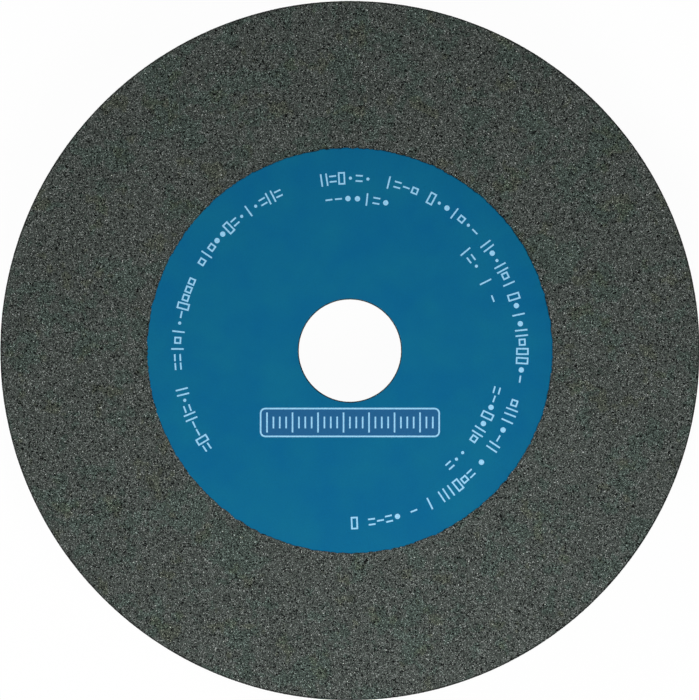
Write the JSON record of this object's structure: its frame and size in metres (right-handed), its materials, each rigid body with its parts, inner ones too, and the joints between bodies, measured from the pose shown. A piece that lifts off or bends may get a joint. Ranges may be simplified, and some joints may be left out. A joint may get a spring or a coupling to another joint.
{
  "type": "bench grinding wheel",
  "caption": "Straight vitrified grinding wheel with a central arbor bore and a round paper blotter glued to each flat face.",
  "frame": {"origin": "centre of the bore on the rear blotter's outer face, where the wheel seats on the grinder's inner flange", "axes": "+Z along the bore, out of the printed front face; +Y towards the top of the print, +X to its right"},
  "size_m": [0.15, 0.15, 0.0206],
  "materials": {
    "vitrified_silicon_carbide": "matt, gritty",
    "blue_blotter_paper": "satin"
  },
  "bodies": {
    "root": {"abrasive_wheel": "vitrified_silicon_carbide", "front_blotter": "blue_blotter_paper", "rear_blotter": "blue_blotter_paper"}
  },
  "joints": []
}
